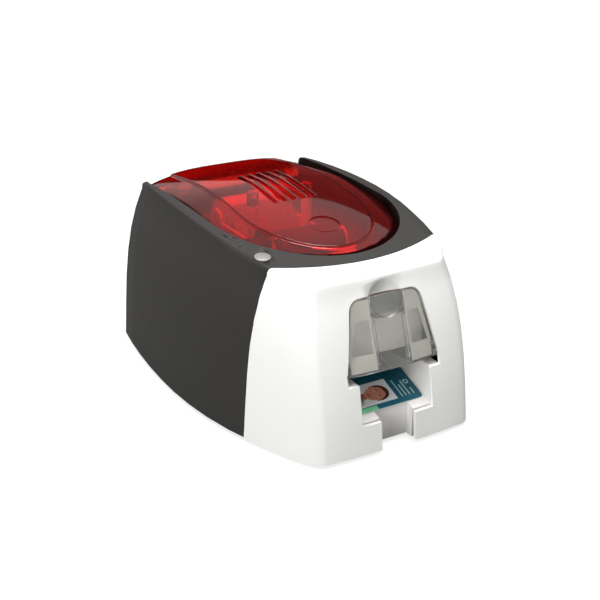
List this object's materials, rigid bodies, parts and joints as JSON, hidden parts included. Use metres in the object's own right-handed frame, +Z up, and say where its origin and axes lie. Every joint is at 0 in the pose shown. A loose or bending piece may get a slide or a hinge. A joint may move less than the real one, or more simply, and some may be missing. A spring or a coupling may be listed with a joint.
{
  "type": "id card printer",
  "caption": "Desktop ID card printer with a hinged see-through lid, a front feeder door and a sloping output tray, for printing plastic cards.",
  "frame": {"origin": "on the floor under the middle of the body", "axes": "+Z up, the front with the feeder door and the tray faces -Y, +Y runs along the body to the rear"},
  "size_m": [0.2076, 0.2637, 0.1416],
  "materials": {
    "casing_grey": "fine grain",
    "cover_white": "satin",
    "lid_red": "glossy, see-through",
    "pin_steel": "ground",
    "door_smoke": "glossy, smoky, see-through",
    "tray_white": "satin",
    "card_print": "glossy print",
    "hopper_grey": "fine grain",
    "deck_grey": "fine grain",
    "button_silver": "silver, satin",
    "board_green": "solder mask",
    "lens_dark": "glossy",
    "frame_steel": "zinc plated sheet",
    "bush_brass": "turned",
    "roller_black": "ground rubber",
    "roller_blue": "tacky cleaning rubber",
    "gear_cream": "moulded nylon",
    "motor_black": "black paint",
    "flap_dark": "fine grain",
    "head_ceramic": "glazed",
    "heatsink_alu": "extruded",
    "core_white": "moulded",
    "ribbon_violet": "glossy film",
    "film_violet": "glossy film, see-through",
    "socket_steel": "bright sheet",
    "feet_rubber": "matte"
  },
  "bodies": {
    "housing": {"main_casing": "casing_grey", "front_cover": "cover_white", "base_tray": "casing_grey", "rear_cover": "casing_grey", "lid_hinge_pins": "pin_steel", "output_tray": "tray_white", "card_hopper": "hopper_grey", "hopper_hood": "hopper_grey", "button_board": "board_green", "indicator_lenses": "lens_dark", "inner_deck": "deck_grey", "left_frame_plate": "frame_steel", "right_frame_plate": "frame_steel", "tie_rods": "pin_steel", "shaft_bushes": "bush_brass", "idler_studs": "pin_steel", "drive_motor": "motor_black", "ribbon_cassette": "flap_dark", "ribbon_film": "film_violet", "ribbon_motor": "motor_black", "main_board": "board_green", "usb_socket": "socket_steel", "power_inlet": "flap_dark", "rubber_feet": "feet_rubber", "case_screws": "pin_steel"},
    "lid": {"lid": "lid_red", "printhead": "head_ceramic", "printhead_heatsink": "heatsink_alu", "printhead_bracket": "frame_steel"},
    "feeder_door": {"feeder_door": "door_smoke", "door_frame": "hopper_grey"},
    "card": {"id_card": "card_print"},
    "power_button": {"power_button": "button_silver"},
    "platen": {"platen_shaft": "pin_steel", "platen_roller": "roller_black", "platen_gear": "gear_cream"},
    "transport": {"transport_shaft": "pin_steel", "transport_roller": "roller_black", "transport_gear": "gear_cream"},
    "feed": {"feed_shaft": "pin_steel", "feed_roller": "roller_blue", "feed_gear": "gear_cream"},
    "pick": {"pick_shaft": "pin_steel", "pick_roller": "roller_black", "pick_gear": "gear_cream"},
    "exit": {"exit_shaft": "pin_steel", "exit_roller": "roller_black", "exit_gear": "gear_cream"},
    "rear_idler": {"rear_idler_gear": "gear_cream"},
    "middle_idler": {"middle_idler_gear": "gear_cream"},
    "front_idler": {"front_idler_gear": "gear_cream"},
    "motor_rotor": {"motor_pinion": "bush_brass"},
    "transport_pinch": {"transport_pinch_roller": "pin_steel"},
    "feed_pinch": {"feed_pinch_roller": "pin_steel"},
    "exit_pinch": {"exit_pinch_roller": "pin_steel"},
    "diverter": {"diverter_flap": "flap_dark"},
    "ribbon_supply": {"ribbon_supply_core": "core_white", "ribbon_supply_roll": "ribbon_violet"},
    "ribbon_takeup": {"ribbon_takeup_core": "core_white", "ribbon_takeup_roll": "ribbon_violet"}
  },
  "joints": [
    {"name": "lid_hinge", "type": "hinge", "parent": "housing", "child": "lid", "pos_m": [0, 0.1278, 0.1185], "axis": [-1, 0, 0], "range_deg": [0, 60]},
    {"name": "feeder_door_hinge", "type": "hinge", "parent": "housing", "child": "feeder_door", "pos_m": [0, -0.11612, 0.063], "axis": [1, 0, 0], "range_deg": [0, 78]},
    {"name": "power_button_press", "type": "slide", "parent": "housing", "child": "power_button", "axis": [0, 0.1368, -0.9906], "range_m": [0, 0.0008], "stiffness_N_per_m": 1500, "springref_m": -0.0005},
    {"name": "card_slide", "type": "slide", "parent": "housing", "child": "card", "axis": [0, -0.9466, -0.3223], "range_m": [0, 0.06]},
    {"name": "platen_spin", "type": "hinge", "parent": "housing", "child": "platen", "pos_m": [0, 0.036, 0.073], "axis": [1, 0, 0], "continuous": true},
    {"name": "transport_spin", "type": "hinge", "parent": "housing", "child": "transport", "pos_m": [0, 0.054, 0.073], "axis": [1, 0, 0], "continuous": true},
    {"name": "feed_spin", "type": "hinge", "parent": "housing", "child": "feed", "pos_m": [0, -0.014, 0.073], "axis": [1, 0, 0], "continuous": true},
    {"name": "pick_spin", "type": "hinge", "parent": "housing", "child": "pick", "pos_m": [0, -0.044, 0.073], "axis": [1, 0, 0], "continuous": true},
    {"name": "exit_spin", "type": "hinge", "parent": "housing", "child": "exit", "pos_m": [0, -0.029, 0.053], "axis": [1, 0, 0], "continuous": true},
    {"name": "rear_idler_spin", "type": "hinge", "parent": "housing", "child": "rear_idler", "pos_m": [0.0377, 0.045, 0.061], "axis": [1, 0, 0], "continuous": true},
    {"name": "middle_idler_spin", "type": "hinge", "parent": "housing", "child": "middle_idler", "pos_m": [0.0377, 0.011, 0.073], "axis": [1, 0, 0], "continuous": true},
    {"name": "front_idler_spin", "type": "hinge", "parent": "housing", "child": "front_idler", "pos_m": [0.0377, -0.029, 0.073], "axis": [1, 0, 0], "continuous": true},
    {"name": "motor_spin", "type": "hinge", "parent": "housing", "child": "motor_rotor", "pos_m": [0.0377, 0.045, 0.047], "axis": [1, 0, 0], "continuous": true},
    {"name": "transport_pinch_spin", "type": "hinge", "parent": "housing", "child": "transport_pinch", "pos_m": [0, 0.054, 0.0848], "axis": [1, 0, 0], "continuous": true},
    {"name": "feed_pinch_spin", "type": "hinge", "parent": "housing", "child": "feed_pinch", "pos_m": [0, -0.014, 0.0848], "axis": [1, 0, 0], "continuous": true},
    {"name": "exit_pinch_spin", "type": "hinge", "parent": "housing", "child": "exit_pinch", "pos_m": [0, -0.03192, 0.06158], "axis": [1, 0, 0], "continuous": true},
    {"name": "diverter_flap_swing", "type": "hinge", "parent": "housing", "child": "diverter", "pos_m": [0, 0, 0.0758], "axis": [1, 0, 0], "range_deg": [0, 14]},
    {"name": "ribbon_supply_spin", "type": "hinge", "parent": "housing", "child": "ribbon_supply", "pos_m": [0, 0.084, 0.104], "axis": [1, 0, 0], "continuous": true},
    {"name": "ribbon_takeup_spin", "type": "hinge", "parent": "housing", "child": "ribbon_takeup", "pos_m": [0, -0.002, 0.106], "axis": [1, 0, 0], "continuous": true}
  ],
  "couplings": [
    {"joint": "transport_spin", "follows": "platen_spin", "ratio": 1},
    {"joint": "feed_spin", "follows": "platen_spin", "ratio": 1},
    {"joint": "pick_spin", "follows": "platen_spin", "ratio": 1},
    {"joint": "exit_spin", "follows": "platen_spin", "ratio": 0.58333},
    {"joint": "rear_idler_spin", "follows": "platen_spin", "ratio": -0.875},
    {"joint": "middle_idler_spin", "follows": "platen_spin", "ratio": -0.38889},
    {"joint": "front_idler_spin", "follows": "platen_spin", "ratio": -0.875},
    {"joint": "motor_spin", "follows": "platen_spin", "ratio": 1.1667},
    {"joint": "transport_pinch_spin", "follows": "platen_spin", "ratio": -1.725},
    {"joint": "feed_pinch_spin", "follows": "platen_spin", "ratio": -1.725},
    {"joint": "exit_pinch_spin", "follows": "platen_spin", "ratio": -1.0042},
    {"joint": "ribbon_takeup_spin", "follows": "ribbon_supply_spin", "ratio": 1.3077}
  ]
}
